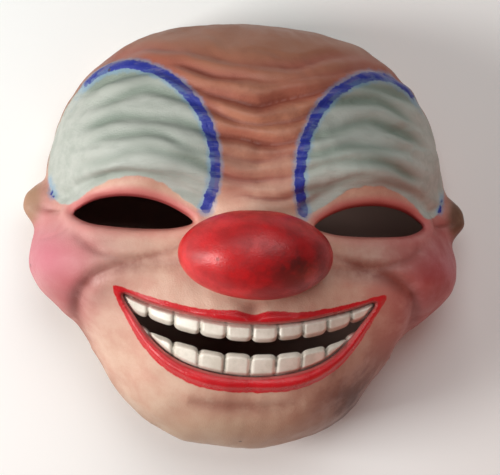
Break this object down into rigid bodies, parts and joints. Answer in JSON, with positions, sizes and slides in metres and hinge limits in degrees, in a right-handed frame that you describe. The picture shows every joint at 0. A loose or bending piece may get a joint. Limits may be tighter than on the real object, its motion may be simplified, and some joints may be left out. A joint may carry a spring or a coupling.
{
  "type": "clown mask",
  "caption": "Moulded latex clown face mask with a big red nose, a toothy grin, open eye holes and an elastic head strap, lying face up on its rim.",
  "frame": {"origin": "on the surface that the rim lies on, under the middle of the mask", "axes": "+Z out of the face, +Y towards the crown, +X to the viewer's right when the face looks at the viewer"},
  "size_m": [0.2056, 0.1983, 0.1089],
  "materials": {
    "latex_skin": "painted latex, matt skin tones with white, blue, red and pink make-up",
    "red_nose": "painted latex, satin red",
    "teeth": "painted latex, satin ivory with grey between the teeth",
    "elastic_band": "woven elastic, matt black",
    "rivet_metal": "plain nickel-plated steel"
  },
  "bodies": {
    "root": {"face_shell": "latex_skin", "nose": "red_nose", "upper_teeth": "teeth", "lower_teeth": "teeth", "head_strap": "elastic_band", "left_rivet": "rivet_metal", "right_rivet": "rivet_metal"}
  },
  "joints": []
}
